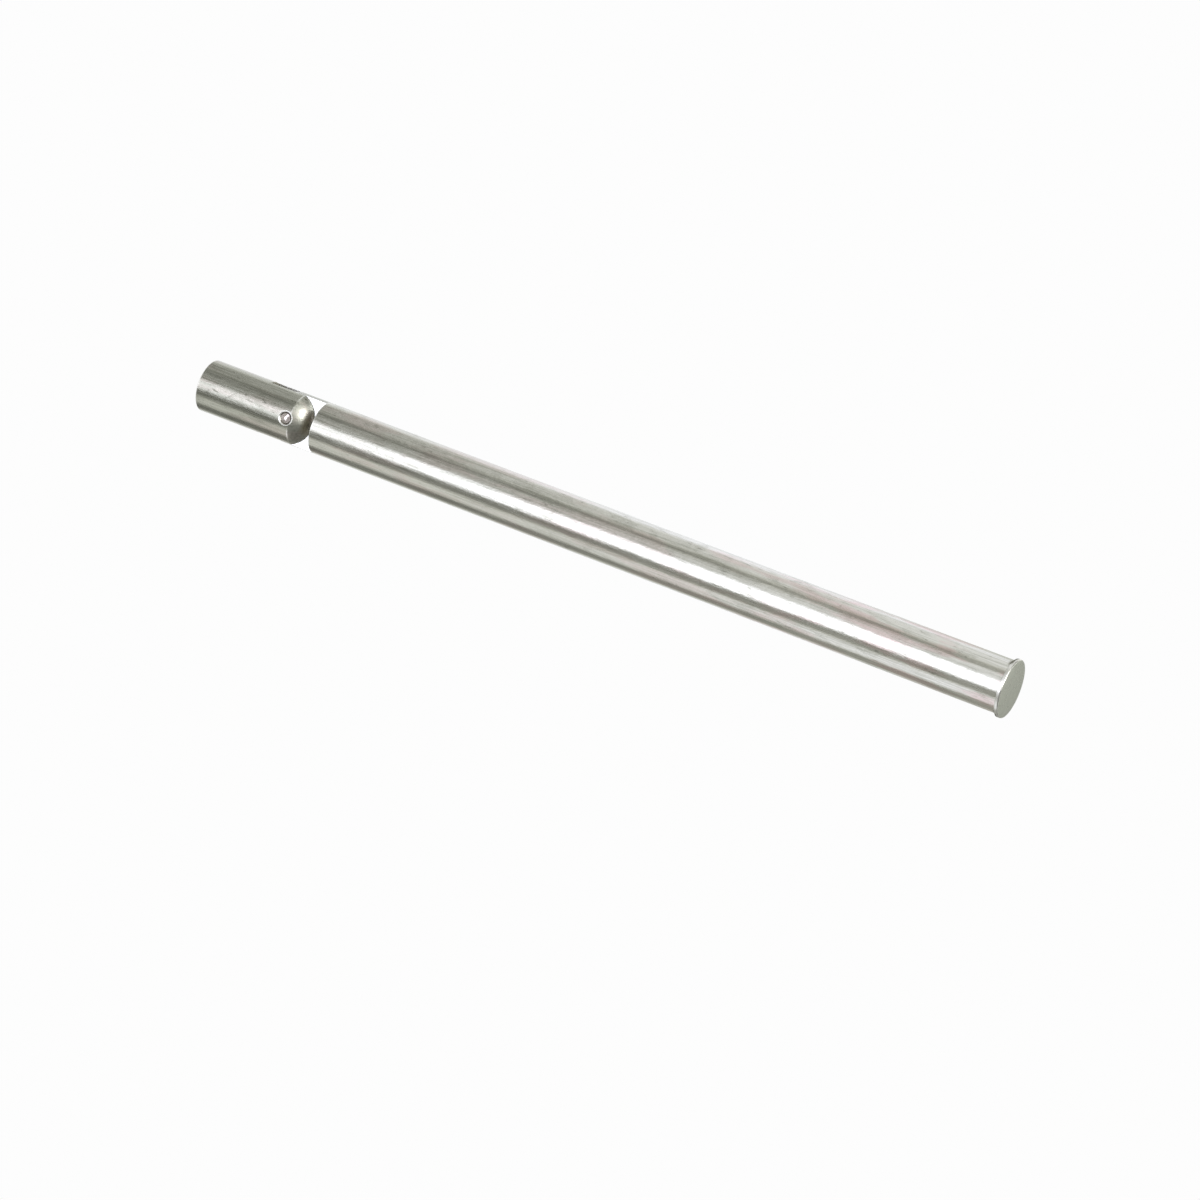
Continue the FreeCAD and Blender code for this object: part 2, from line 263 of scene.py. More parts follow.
def section_angles(half_gap):
    """The angles all the way round the bar's section: both ears' arcs and the two arcs over the gap."""
    edge = math.acos(half_gap / BAR_RADIUS)
    front = spread(-edge, edge, ARC_STEPS)
    top = spread(edge, math.pi - edge, GAP_STEPS)
    back = [math.pi + angle for angle in front]
    bottom = [math.pi + angle for angle in top]
    return front, top, back, bottom


def full_ring(x, radius, half_gap):
    front, top, back, bottom = section_angles(half_gap)
    angles = front + top[1:] + back[1:] + bottom[1:]
    return [bar_point(x, angle, radius) for angle in angles]


def make_shank():
    """The bar with its tongue: one end chamfered into the head, the other cut away on both sides."""
    stations = [SHOULDER_X, *spread(SHOULDER_X + 4 * MM, -4 * MM, 12), 0.0]
    rings = [full_ring(x, BAR_RADIUS, TONGUE_HALF) for x in stations]
    rings.append(full_ring(REGISTER_DEPTH, BAR_RADIUS - REGISTER_DEPTH, TONGUE_HALF))
    caps = [rings[-1][:-1]]
    front, top, back, bottom = section_angles(TONGUE_HALF)
    for arc in (front, back):
        caps.append([bar_point(SHOULDER_X, angle, BAR_RADIUS) for angle in arc])
    paths = [tongue_path(-BAR_RADIUS * math.cos(angle)) for angle in top]
    caps += [paths[0], paths[-1]]
    shank = mesh_piece("shank_bar", [rings, paths], caps)

    def root(a, b, edge):
        at_shoulder = near(a.x, SHOULDER_X) and near(b.x, SHOULDER_X)
        return at_shoulder and near(abs(a.y), TONGUE_HALF) and near(a.y, b.y)

    def outer(a, b, edge):
        if edge.calc_face_angle(0) < SHARP:
            return False
        in_register = a.x > -MM and b.x > -MM
        return not in_register and not (a.x > SHOULDER_X + 0.01 * MM and b.x > SHOULDER_X + 0.01 * MM)

    bevel_edges(shank, root, TONGUE_ROOT_RADIUS)
    bevel_edges(shank, lambda a, b, edge: outer(a, b, edge) and not root(a, b, edge), SOFT_EDGE)
    bore = [(-3 * MM, 0), (-3 * MM, TONGUE_BORE_RADIUS), (3 * MM, TONGUE_BORE_RADIUS), (3 * MM, 0)]
    subtract(shank, lathe("bore_cutter", bore, "Y", PIVOT_X, 64))
    mend(shank)
    finish_shading(shank)
    return shank


def tongue_path(y):
    """The tongue's outline at one place across its thickness, from the shoulder round the end and back."""
    height = math.sqrt(BAR_RADIUS**2 - y**2)
    rounding_starts = math.asin(height / BAR_RADIUS)
    upper = [Vector((x, y, height)) for x in spread(SHOULDER_X, PIVOT_X - abs(y), 8)]
    arc = []
    for angle in spread(rounding_starts, -rounding_starts, DOME_STEPS)[1:-1]:
        arc.append(Vector((PIVOT_X - BAR_RADIUS * math.cos(angle), y, BAR_RADIUS * math.sin(angle))))
    lower = [Vector((point.x, y, -height)) for point in reversed(upper)]
    return upper + arc + lower


def make_nose():
    """The pivoting end: round, slotted for the tongue, domed towards the shoulder, drilled for the rivet."""
    stations = (NOSE_END_X + NOSE_EDGE_BREAK, SLOT_FLOOR_X - 7 * MM, SLOT_FLOOR_X)
    solid = [full_ring(NOSE_END_X, BAR_RADIUS - NOSE_EDGE_BREAK, SLOT_HALF)]
    solid += [full_ring(x, BAR_RADIUS, SLOT_HALF) for x in stations]
    caps = [solid[0][:-1]]
    grids = [solid]
    front, top, back, bottom = section_angles(SLOT_HALF)
    over_slot = [bar_point(SLOT_FLOOR_X, angle, BAR_RADIUS) for angle in top + bottom]
    caps.append(over_slot)
    for arc, side in ((front, -1), (back, 1)):
        grids += ear_grids(arc)
        caps.append(ear_inner_face(side))
    nose = mesh_piece("nose_body", grids, caps)

    def slot_edge(a, b, edge):
        sharp = edge.calc_face_angle(0) > SHARP
        in_slot = a.x > SLOT_FLOOR_X - WELD and b.x > SLOT_FLOOR_X - WELD
        return sharp and in_slot

    bevel_edges(nose, slot_edge, SOFT_EDGE)
    subtract(nose, rivet_hole_cutter())
    mend(nose)
    finish_shading(nose)
    return nose


def ear_stations():
    """The places along an ear, from the slot's floor to the crease."""
    return [*spread(SLOT_FLOOR_X, PIVOT_X - 2.5 * MM, 8), *spread(PIVOT_X - 2 * MM, CREASE_X, 8)]


def ear_grids(arc):
    """One ear's cylinder from the slot's floor to the crease, and its share of the dome."""
    cylinder = [[bar_point(x, angle, BAR_RADIUS) for angle in arc] for x in ear_stations()]
    dome = [dome_row(bar_point(0, angle, BAR_RADIUS).y) for angle in arc[ARC_STEPS // 2 :]]
    return [cylinder, dome]


def dome_row(y):
    """The dome's circle at one place across the nose, from the crease's top round to its bottom."""
    radius = math.sqrt(max(DOME_RADIUS**2 - y**2, 0))
    reach = math.acos(min((CREASE_X - DOME_X) / radius, 1))
    points = []
    for angle in spread(reach, -reach, DOME_STEPS):
        points.append(Vector((DOME_X + radius * math.cos(angle), y, radius * math.sin(angle))))
    return points


def ear_inner_face(side):
    """The flat side of the slot on one ear."""
    y = side * SLOT_HALF
    height = math.sqrt(BAR_RADIUS**2 - y**2)
    stations = ear_stations()
    upper = [Vector((x, y, height)) for x in stations]
    lower = [Vector((x, y, -height)) for x in reversed(stations)]
    return upper + dome_row(y)[1:-1] + lower


def rivet_hole_cutter():
    """A press fit along the middle, and at both ends a steep seat and a 45 degree mouth."""
    past = 0.5 * MM
    half = [
        (0.0, RIVET_RADIUS),
        (BAR_RADIUS - SEAT_DEPTH, RIVET_RADIUS),
        (BAR_RADIUS - COUNTERSINK_DEPTH, SEAT_RADIUS),
        (BAR_RADIUS + past, COUNTERSINK_RADIUS + past),
        (BAR_RADIUS + past, 0.0),
    ]
    mirrored = [(-along, radius) for along, radius in reversed(half[1:])]
    half_step = math.pi / HOLE_STEPS  # keeps the cutter's lines off the nose's own
    return lathe("hole_cutter", mirrored + half[1:], "Y", PIVOT_X, HOLE_STEPS, half_step)


def make_head():
    """The thin disc on the bar's end, with the tapered register that the bar sits in."""
    rim = [
        (REGISTER_DEPTH, 0.0),
        (REGISTER_DEPTH, BAR_RADIUS - REGISTER_DEPTH),
        (0.0, BAR_RADIUS),
        (0.0, HEAD_RADIUS),
        (HEAD_FACE_X, HEAD_RADIUS),
        (HEAD_FACE_X, 0.0),
    ]
    head = lathe("head_disc", round_corners(rim, SOFT_EDGE, {4: HEAD_EDGE_BREAK}), "X")
    finish_shading(head)
    return head


def make_rivet():
    """The cross rivet, each end spread on its seat and peened to a low crown with flats."""
    neck = BAR_RADIUS - SEAT_DEPTH
    slope = (SEAT_DEPTH - COUNTERSINK_DEPTH) / (SEAT_RADIUS - RIVET_RADIUS)
    skirt = neck + (RIVET_END_RADIUS - RIVET_RADIUS) * slope
    rim = BAR_RADIUS - RIVET_END_DROP
    side = [(neck, RIVET_RADIUS), (skirt, RIVET_END_RADIUS), (rim, RIVET_END_RADIUS)]
    rise = RIVET_END_DROP - RIVET_CROWN_DROP
    crown_radius = (RIVET_END_RADIUS**2 + rise**2) / (2 * rise)
    crown = []
    for radius in spread(RIVET_END_RADIUS, 0.0, 16)[1:]:
        drop = crown_radius - math.sqrt(crown_radius**2 - radius**2)
        crown.append((rim + rise - drop, radius))
    end = side + crown
    profile = [(-along, radius) for along, radius in reversed(end)] + end
    rivet = lathe("rivet", profile, "Y", PIVOT_X, 96)
    peen(rivet)
    finish_shading(rivet)
    return rivet


# each flat: its direction in degrees, how steeply it falls outwards, and where it starts, in mm from the middle
PEEN_FLATS = ((18, 0.34, 0.30), (88, 0.20, 0.46), (150, 0.38, 0.36), (221, 0.24, 0.28), (290, 0.31, 0.42))
PEEN_DEPTH = 0.02 * MM
PEEN_TILT = 0.03  # of the flat in the middle
PEEN_TURN = 25  # degrees, one way at each end


def peen(rivet):
    """Hammer flats on both ends: each point above a tilted plane or the flat middle is pushed down."""
    height = BAR_RADIUS - RIVET_CROWN_DROP - PEEN_DEPTH
    for vert in rivet.data.vertices:
        end = math.copysign(1, vert.co.y)
        across = vert.co.x - PIVOT_X
        top = height + PEEN_TILT * (across * end - vert.co.z)
        for direction, steepness, start in PEEN_FLATS:
            angle = math.radians(direction + PEEN_TURN * end)
            outward = across * math.cos(angle) + vert.co.z * math.sin(angle)
            top = min(top, height - steepness * (outward - start * MM))
        if abs(vert.co.y) > top:
            vert.co.y = end * top


# ---------------------------------------------------------------- materials


class Tree:
    """Short calls for building a node tree. Every input may be a number, a colour or another node's output."""

    def __init__(self, tree):
        self.tree = tree

    def node(self, kind, **settings):
        node = self.tree.nodes.new(kind)
        for name, value in settings.items():
            setattr(node, name, value)
        return node

    def put(self, socket, value):
        if isinstance(value, bpy.types.NodeSocket):
            self.tree.links.new(value, socket)
        else:
            socket.default_value = value

    def maths(self, operation, *values, clamp=False):
        node = self.node("ShaderNodeMath", operation=operation, use_clamp=clamp)
        for socket, value in zip(node.inputs, values):
            self.put(socket, value)
        return node.outputs[0]

    def ramp(self, value, low, high, out_low=0.0, out_high=1.0):
        """The value taken smoothly from one range to another."""
        node = self.node("ShaderNodeMapRange", interpolation_type="SMOOTHSTEP")
        for name, setting in (("Value", value), ("From Min", low), ("From Max", high)):
            self.put(node.inputs[name], setting)
        self.put(node.inputs["To Min"], out_low)
        self.put(node.inputs["To Max"], out_high)
        return node.outputs[0]

    def blend(self, factor, first, second, kind="MIX"):
        node = self.node("ShaderNodeMix", data_type="RGBA", blend_type=kind, clamp_factor=True)
        self.put(node.inputs[0], factor)
        self.put(node.inputs[6], first)
        self.put(node.inputs[7], second)
        return node.outputs[2]

    def place(self, cell=(1, 1, 1), offset=(0, 0, 0), turn=(0, 0, 0)):
        """The piece's own coordinates, counted in cells of the given size in millimetres and turned."""
        node = self.node("ShaderNodeMapping", vector_type="TEXTURE")
        self.put(node.inputs["Vector"], self.node("ShaderNodeTexCoord").outputs["Object"])
        self.put(node.inputs["Location"], offset)
        self.put(node.inputs["Rotation"], turn)
        self.put(node.inputs["Scale"], tuple(size * MM for size in cell))
        return node.outputs[0]

    def noise(self, cell, detail=2.0, roughness=0.55, offset=(0, 0, 0), turn=(0, 0, 0), distortion=0.0):
        node = self.node("ShaderNodeTexNoise")
        self.put(node.inputs["Vector"], self.place(cell, offset, turn))
        self.put(node.inputs["Scale"], 1.0)
        self.put(node.inputs["Detail"], detail)
        self.put(node.inputs["Roughness"], roughness)
        self.put(node.inputs["Distortion"], distortion)
        return node.outputs[0]

    def scratch(self, cell, turn, offset=(0, 0, 0), share=0.06):
        """Straight thin scratches: the crests of long narrow noise, in a few places."""
        long = self.noise(cell, 0, 0.4, offset, turn)
        where = self.noise((4, 3, 3), 1, 0.5, offset)
        return self.maths("MULTIPLY", self.ramp(long, 0.70 - share, 0.72), self.ramp(where, 0.48, 0.6))

    def axis(self, name):
        node = self.node("ShaderNodeSeparateXYZ")
        self.put(node.inputs[0], self.node("ShaderNodeTexCoord").outputs["Object"])
        return node.outputs[name]


def new_material(name):
    material = bpy.data.materials.new(name)
    material.use_nodes = True
    tree = material.node_tree
    tree.nodes.clear()
    output = tree.nodes.new("ShaderNodeOutputMaterial")
    shader = tree.nodes.new("ShaderNodeBsdfPrincipled")
    tree.links.new(shader.outputs["BSDF"], output.inputs["Surface"])
    return material, Tree(tree), shader


STEEL_LIGHT = (0.70, 0.693, 0.638, 1)
STEEL_DULL = (0.45, 0.452, 0.395, 1)
STEEL_ROSY = (0.70, 0.60, 0.57, 1)
STEEL_MARK = (0.22, 0.215, 0.18, 1)
STEEL_BRIGHT = (0.93, 0.92, 0.89, 1)
# painted shade: a dark colour for the corner where the head's step meets the bar
STEEL_CORNER_SHADE = (0.16, 0.16, 0.12, 1)  # in the corner under the head
SHOULDER_FACE = (0.36, 0.32, 0.25, 1)
MILLED_LIGHT = (0.99, 0.99, 0.98, 1)
MILLED_DULL = (0.8, 0.8, 0.78, 1)
NOSE_TINT = (0.86, 0.87, 0.85, 1)
# painted highlight for the countersink's mouth round the rivet
SEAT_RIM_HIGHLIGHT = (1, 1, 0.98, 1)
FACE_LIGHT = (0.55, 0.57, 0.51, 1)
FACE_SMUDGE = (0.46, 0.475, 0.42, 1)
FACE_GRAIN = (0.46, 0.46, 0.41, 1)
HEAD_RIM = (0.82, 0.81, 0.77, 1)
RIVET_LIGHT = (0.93, 0.85, 0.83, 1)
RIVET_DULL = (0.80, 0.72, 0.70, 1)
RIVET_DENT = (0.5, 0.44, 0.42, 1)
# painted shade for the rim of each rivet end, down in its seat's groove
RIVET_GROOVE_SHADE = (0.25, 0.22, 0.21, 1)


def close_to(tree, value, place, width, strength=1.0):
    """Full strength where the value is at the place, fading to nothing at the width."""
    return tree.ramp(tree.maths("ABSOLUTE", tree.maths("SUBTRACT", value, place)), 0.0, width, strength, 0.0)


def radius_from(tree, first, second, centre=0.0):
    """The distance from a line along the third axis."""
    across = tree.maths("SUBTRACT", tree.axis(first), centre)
    squares = tree.maths("ADD", tree.maths("POWER", across, 2.0), tree.maths("POWER", tree.axis(second), 2.0))
    return tree.maths("SQRT", squares)


def steel_base(tree, offset, dullness, rosiness, marks, roughness):
    """Drawn steel, with streaks along X, cloudy colour and small dark marks: colour, roughness and height."""
    streaks = tree.noise((20, 0.42, 0.42), 3, 0.62, offset)
    fine = tree.noise((5, 0.17, 0.17), 2, 0.6, offset)
    clouds = tree.noise((22, 3.8, 3.8), 3, 0.6, offset)
    patches = tree.noise((7, 1.9, 1.9), 3, 0.65, offset, (0, 0.2, 0.1), 0.8)
    specks = tree.noise((1.7, 0.6, 0.6), 2, 0.5, offset)
    dull = tree.maths("MULTIPLY", tree.ramp(streaks, 0.44, 0.68), dullness)
    dull = tree.maths("MULTIPLY_ADD", tree.ramp(patches, 0.5, 0.66), marks * 0.55, dull)
    towards_head = tree.ramp(tree.axis("X"), -90 * MM, 0.0, rosiness, 3 * rosiness)
    rosy = tree.maths("MULTIPLY", tree.ramp(clouds, 0.46, 0.6), towards_head)
    marked = tree.maths("MULTIPLY", tree.ramp(specks, 0.6, 0.7), tree.ramp(patches, 0.5, 0.62))
    marked = tree.maths("MULTIPLY", marked, marks)
    colour = tree.blend(rosy, STEEL_LIGHT, STEEL_ROSY)
    colour = tree.blend(dull, colour, STEEL_DULL)
    colour = tree.blend(marked, colour, STEEL_MARK)
    rough = tree.maths("MULTIPLY_ADD", tree.ramp(fine, 0.35, 0.7), 0.10, roughness)
    rough = tree.maths("MULTIPLY_ADD", tree.ramp(patches, 0.45, 0.7), 0.06, rough)
    mottle = tree.noise((2.6, 0.9, 0.9), 3, 0.7, offset)
    height = tree.maths("MULTIPLY_ADD", fine, 0.5, streaks)
    height = tree.maths("MULTIPLY_ADD", mottle, 6.0, height)
    return colour, rough, height


def finish_steel(tree, shader, colour, rough, height, depth=0.01):
    """Sets the metal's colour, roughness and bump. The depth is the height's range in millimetres."""
    shader.inputs["Metallic"].default_value = 1.0
    tree.put(shader.inputs["Base Color"], colour)
    tree.put(shader.inputs["Roughness"], rough)
    bump = tree.node("ShaderNodeBump")
    bump.inputs["Strength"].default_value = 0.5
    bump.inputs["Distance"].default_value = depth * MM
    tree.put(bump.inputs["Height"], height)
    tree.put(shader.inputs["Normal"], bump.outputs[0])


def make_bar_steel():
    """The drawn bar: bright milled flats on the tongue, rubbed edges at the shoulder, and painted shade on its
    top and bottom in the corner under the head.
    """
    material, tree, shader = new_material("drawn_bar_steel")
    colour, rough, height = steel_base(tree, (0, 0, 0), 0.6, 0.5, 0.45, 0.16)
    x, y = tree.axis("X"), tree.maths("ABSOLUTE", tree.axis("Y"))
    around = radius_from(tree, "Y", "Z")
    rubbed = close_to(tree, x, SHOULDER_X, 0.35 * MM, 0.8)
    colour = tree.blend(rubbed, colour, STEEL_BRIGHT)
    on_flat = close_to(tree, y, TONGUE_HALF, 0.06 * MM)
    past_shoulder = tree.ramp(x, SHOULDER_X - 0.1 * MM, SHOULDER_X)
    milled = tree.maths("MULTIPLY", on_flat, tree.maths("SUBTRACT", 1.0, past_shoulder))
    curved = tree.ramp(y, TONGUE_HALF, TONGUE_HALF - 0.08 * MM)
    curved = tree.maths("MULTIPLY", curved, tree.maths("SUBTRACT", 1.0, past_shoulder))
    colour = tree.blend(curved, colour, STEEL_DULL)
    inside = tree.ramp(around, BAR_RADIUS - 0.03 * MM, BAR_RADIUS - 0.1 * MM)
    end_face = tree.maths("MULTIPLY", close_to(tree, x, SHOULDER_X, 0.02 * MM), inside)
    colour = tree.blend(end_face, colour, SHOULDER_FACE)
    # painted shade: the bar's top and bottom within about a millimetre of the head are darkened and made
    # rougher, where the head's step shades them
    top_and_bottom = tree.ramp(tree.maths("ABSOLUTE", tree.axis("Z")), 0.8 * BAR_RADIUS, 0.93 * BAR_RADIUS)
    corner = tree.maths("MULTIPLY", close_to(tree, x, 0.0, 1.1 * MM), top_and_bottom)
    colour = tree.blend(corner, colour, STEEL_CORNER_SHADE)
    milling = tree.noise((0.25, 1, 9), 2, 0.6)
    milled_colour = tree.blend(tree.ramp(milling, 0.5, 0.8, 0.0, 0.35), MILLED_LIGHT, MILLED_DULL)
    colour = tree.blend(milled, colour, milled_colour)
    rough = tree.maths("MULTIPLY_ADD", tree.maths("MAXIMUM", milled, rubbed), 0.1, rough)
    rough = tree.maths("MULTIPLY_ADD", corner, 0.6, rough)
    finish_steel(tree, shader, colour, rough, height)
    return material


# each set of scratches: the cell in mm, how it is turned, and its offset
NOSE_SCRATCHES = (((9, 0.24, 0.24), (0, 0.22, 0), 0.013), ((7, 0.2, 0.2), (0, -0.7, 0), 0.041))


def make_nose_steel():
    """The nose: darker than the bar and scratched, with bright rubbed rims at its end and a painted highlight
    round the rivet.
    """
    material, tree, shader = new_material("nose_steel")
    colour, rough, height = steel_base(tree, (0.05, 0.02, 0.03), 0.6, 0.45, 0.7, 0.18)
    colour = tree.blend(1.0, colour, NOSE_TINT, "MULTIPLY")
    x = tree.axis("X")
    for cell, turn, offset in NOSE_SCRATCHES:
        scratch = tree.scratch(cell, turn, (offset, 0, 0), 0.035)
        colour = tree.blend(tree.maths("MULTIPLY", scratch, 0.3), colour, STEEL_MARK)
        height = tree.maths("MULTIPLY_ADD", scratch, -0.5, height)
    rubbed = close_to(tree, x, NOSE_END_X, 0.4 * MM, 0.7)
    rubbed = tree.maths("MAXIMUM", rubbed, close_to(tree, x, CREASE_X, 0.15 * MM, 0.12))
    # painted highlight: a near-white, rougher ring on the countersink's mouth round the rivet, broken up by
    # noise
    around = radius_from(tree, "X", "Z", PIVOT_X)
    rim = close_to(tree, around, (SEAT_RADIUS + COUNTERSINK_RADIUS) / 2 + 0.02 * MM, 0.24 * MM)
    outside = tree.ramp(tree.maths("ABSOLUTE", tree.axis("Y")), BAR_RADIUS - 0.45 * MM, BAR_RADIUS - 0.3 * MM)
    rim_breakup = tree.noise((0.5, 0.5, 0.5), 2, 0.6, (0.01, 0, 0))
    rim = tree.maths("MULTIPLY", tree.ramp(rim, 0.15, 0.5), tree.ramp(rim_breakup, 0.3, 0.5, 0.55, 1.0))
    rim = tree.maths("MULTIPLY", rim, outside)
    in_slot = close_to(tree, tree.maths("ABSOLUTE", tree.axis("Y")), SLOT_HALF, 0.03 * MM)
    in_slot = tree.maths("MULTIPLY", in_slot, tree.ramp(x, SLOT_FLOOR_X - 0.05 * MM, SLOT_FLOOR_X))
    colour = tree.blend(tree.maths("MAXIMUM", rubbed, in_slot), colour, STEEL_BRIGHT)
    colour = tree.blend(rim, colour, SEAT_RIM_HIGHLIGHT)
    rough = tree.maths("MULTIPLY_ADD", rubbed, 0.08, rough)
    rough = tree.maths("MULTIPLY_ADD", tree.ramp(x, CREASE_X, CREASE_X + 0.1 * MM), 0.16, rough)
    rough = tree.maths("MULTIPLY_ADD", rim, 0.3, rough)
    finish_steel(tree, shader, colour, rough, height)
    return material


TURNING_RINGS = 9000.0  # noise cells per metre of the face's radius


def make_head_steel():
    """The head: a faced disc with fine turning rings, slightly dull, with a smudge on its face and painted
    shade on its rim next to the bar.
    """
    material, tree, shader = new_material("head_steel")
    radius = radius_from(tree, "Y", "Z")
    ring_place = tree.node("ShaderNodeCombineXYZ")
    tree.put(ring_place.inputs[0], tree.maths("MULTIPLY", radius, TURNING_RINGS))
    rings = tree.node("ShaderNodeTexNoise", noise_dimensions="3D")
    tree.put(rings.inputs["Vector"], ring_place.outputs[0])
    tree.put(rings.inputs["Scale"], 1.0)
    tree.put(rings.inputs["Detail"], 2.0)
    smudge = tree.ramp(tree.noise((3, 4.5, 3), 3, 0.6, (0.2, 0.03, 0.01), (0.5, 0, 0), 0.5), 0.38, 0.7)
    fine = tree.noise((0.5, 0.5, 0.5), 3, 0.6)
    on_face = tree.ramp(tree.axis("X"), HEAD_FACE_X - 0.06 * MM, HEAD_FACE_X - 0.01 * MM)
    face = tree.blend(tree.maths("MULTIPLY", smudge, 0.7), FACE_LIGHT, FACE_SMUDGE)
    face = tree.blend(tree.ramp(fine, 0.5, 0.8, 0.0, 0.12), face, FACE_GRAIN)
    colour = tree.blend(on_face, HEAD_RIM, face)
    # painted shade: the rim's top and bottom next to the bar are darkened and made rougher, where the step
    # between head and bar is shaded
    rim_corner_shade = tree.ramp(tree.maths("ABSOLUTE", tree.axis("Z")), 0.80 * HEAD_RADIUS, 0.90 * HEAD_RADIUS)
    rim_corner_shade = tree.maths("MULTIPLY", rim_corner_shade, close_to(tree, tree.axis("X"), 0.0, 0.7 * MM))
    colour = tree.blend(rim_corner_shade, colour, STEEL_CORNER_SHADE)
    rough = tree.maths("MULTIPLY_ADD", smudge, 0.12, 0.22)
    rough = tree.maths("MULTIPLY_ADD", rim_corner_shade, 0.5, rough)
    rough = tree.maths("MULTIPLY_ADD", rings.outputs[0], 0.1, rough)
    height = tree.maths("MULTIPLY_ADD", fine, 0.2, rings.outputs[0])
    finish_steel(tree, shader, colour, rough, height, 0.003)
    return material


def make_rivet_steel():
    """The rivet: softer, brighter steel, dented by the hammer, with painted shade round the rim of each end."""
    material, tree, shader = new_material("rivet_steel")
    dents = tree.noise((0.35, 0.35, 0.35), 3, 0.6)
    tint = tree.ramp(tree.noise((0.7, 0.7, 0.7), 2, 0.5, (0.3, 0, 0)), 0.42, 0.6)
    colour = tree.blend(tint, RIVET_LIGHT, RIVET_DULL)
    colour = tree.blend(tree.ramp(dents, 0.55, 0.75, 0.0, 0.5), colour, RIVET_DENT)
    # painted shade: the rim of each end is darkened where it sits down in the groove of its seat
    around = radius_from(tree, "X", "Z", PIVOT_X)
    edge = close_to(tree, around, RIVET_END_RADIUS, 0.16 * MM, 0.8)
    colour = tree.blend(edge, colour, RIVET_GROOVE_SHADE)
    rough = tree.maths("MULTIPLY_ADD", dents, 0.2, 0.16)
    finish_steel(tree, shader, colour, rough, dents, 0.03)
    return material


# ---------------------------------------------------------------- pieces on their bodies


shank = make_shank()
head = make_head()
nose = make_nose()
rivet = make_rivet()

bar_steel = make_bar_steel()
nose_steel = make_nose_steel()
head_steel = make_head_steel()
rivet_steel = make_rivet_steel()
for piece, material, body, node, slot in (
    (shank, bar_steel, "bar", "shank", "drawn_bar"),
    (head, head_steel, "bar", "head", "faced_disc"),
    (nose, nose_steel, "drop_nose", "nose", "nose_steel"),
    (rivet, rivet_steel, "drop_nose", "pivot_rivet", "rivet_steel"),
):
    piece.data.materials.clear()
    piece.data.materials.append(material)
    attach(piece, body)
    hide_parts(node)


# ---------------------------------------------------------------- stage, light and camera


WHITE = 0.982  # a backdrop lit until it is just short of pure white
FLOOR_DROP = 20 * MM  # how far the floor lies under the bar, so that the nose has room to hang

# the direction's X at the studio's nose side, head side and far side
NOSE_SIDE, HEAD_SIDE, FAR_SIDE = -0.455, -0.29, 0.20

# Where light comes from, by direction. Each strip: its angle about X (0 is the front, 90 straight up, 180 the
# back), the half widths in degrees that are fully lit and where it has faded, its brightness towards the nose's
# side and towards the head's side, and between which values of the direction's X that changes. The numbers were
# set by comparing renders with the photograph.
STRIPS = (
    (178, 18, 62, 0.80, 0.18, -0.33, HEAD_SIDE),  # the back wall
    (108, 22, 46, 0.12, 0.60, -0.43, -0.37),  # overhead
    (39, 6, 20, 0.10, 0.66, -0.42, -0.33),  # a narrow one above the front
    (1, 9, 27, 0.75, 2.50, NOSE_SIDE, -0.37),  # the main light
    (-72, 10, 26, 0.50, 0.90, -0.37, HEAD_SIDE),  # from below
)
DIM = (0.18, 0.40)  # between the strips, on the nose's side and on the head's side
# The far end of the studio: the angle, the two half widths and how bright.
FAR_STRIPS = ((50, 15, 65, 0.62), (180, 20, 50, 0.32))
FAR_DIM = 0.17
# Round soft boxes: the way to each, and its brightness, full radius and faded radius in degrees.
SOFT_BOXES = (
    ((0.87, -0.29, 0.40), 5.0, 10, 27),
    ((0.04, 0.90, 0.43), 1.3, 5, 16),
    ((0.70, 0.70, 0.12), 1.4, 9, 20),
    ((0.68, 0.50, -0.53), 0.6, 8, 20),
)
# the colour of dim light and of bright light
DARK_TINT = (1.0, 1.01, 0.93, 1)
BRIGHT_TINT = (0.985, 1.0, 1.10, 1)


def make_backdrop():
    """A white floor that curves up on all sides and closes overhead. It is seen but lights nothing."""
    floor_radius, bend, height = 2.5, 1.5, 3.0
    floor_z = cad_low.z - FLOOR_DROP
    profile = [(0.0, 0.0), (floor_radius, 0.0)]
    profile += [
        (floor_radius + bend * math.sin(angle), bend - bend * math.cos(angle))
        for angle in spread(0, math.pi / 2, 12)[1:]
    ]
    profile += [(floor_radius + bend, height), (0.0, height + bend)]
    grid = []
    for angle in spread(0, 2 * math.pi, 96):
        across, along = math.cos(angle), math.sin(angle)
        grid.append([Vector((radius * across, radius * along, floor_z + up)) for radius, up in profile])
    backdrop = mesh_piece("floor_backdrop", [grid], [])
    material, tree, shader = new_material("backdrop_white")
    shader.inputs["Base Color"].default_value = (0, 0, 0, 1)
    shader.inputs["Specular IOR Level"].default_value = 0.0
    shader.inputs["Emission Color"].default_value = (1, 1, 1, 1)
    shader.inputs["Emission Strength"].default_value = WHITE
    backdrop.data.materials.append(material)
    for ray in ("diffuse", "glossy", "transmission", "volume_scatter", "shadow"):
        setattr(backdrop, "visible_" + ray, False)


def lit(tree, direction, way, core, edge):
    """1 within the core angle of the way, fading to 0 at the edge angle. Both are in degrees."""
    facing = tree.node("ShaderNodeVectorMath", operation="DOT_PRODUCT")
    tree.put(facing.inputs[0], direction)
    tree.put(facing.inputs[1], Vector(way).normalized())
    return tree.ramp(facing.outputs["Value"], math.cos(math.radians(edge)), math.cos(math.radians(core)))


